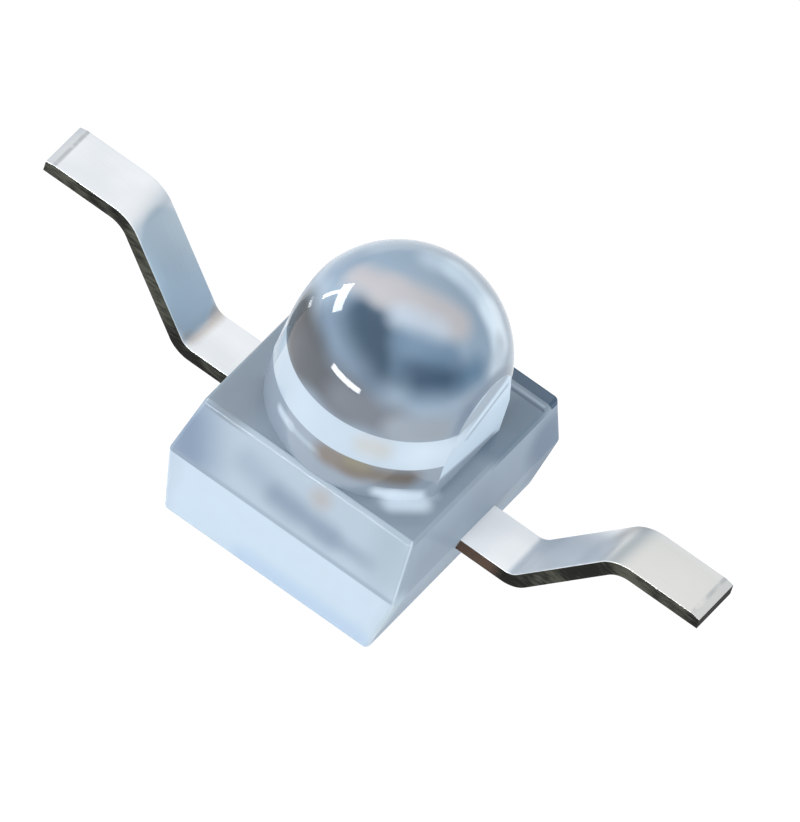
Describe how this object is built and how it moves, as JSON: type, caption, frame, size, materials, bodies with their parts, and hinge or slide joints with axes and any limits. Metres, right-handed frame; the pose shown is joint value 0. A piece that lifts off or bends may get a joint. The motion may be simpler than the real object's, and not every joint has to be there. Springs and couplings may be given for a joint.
{
  "type": "domed surface-mount led",
  "caption": "Clear epoxy surface-mount LED with a domed lens on a flatted pedestal and two reverse gull-wing leads.",
  "frame": {"origin": "centre of the flat seat face under the body", "axes": "+X along the anode lead, +Y across the leads, +Z out of the dome along the optical axis"},
  "size_m": [0.0066, 0.0024, 0.0029],
  "materials": {
    "clear_epoxy": "clear moulded epoxy",
    "tinned_lead": "bright tin plate",
    "silver_adhesive": "silver-filled adhesive",
    "chip": "sawn semiconductor",
    "gold": "bright gold"
  },
  "bodies": {
    "root": {"epoxy_body": "clear_epoxy", "cathode_lead": "tinned_lead", "anode_lead": "tinned_lead", "die_attach": "silver_adhesive", "led_chip": "chip", "chip_contact": "gold", "bond_wire": "gold"}
  },
  "joints": []
}
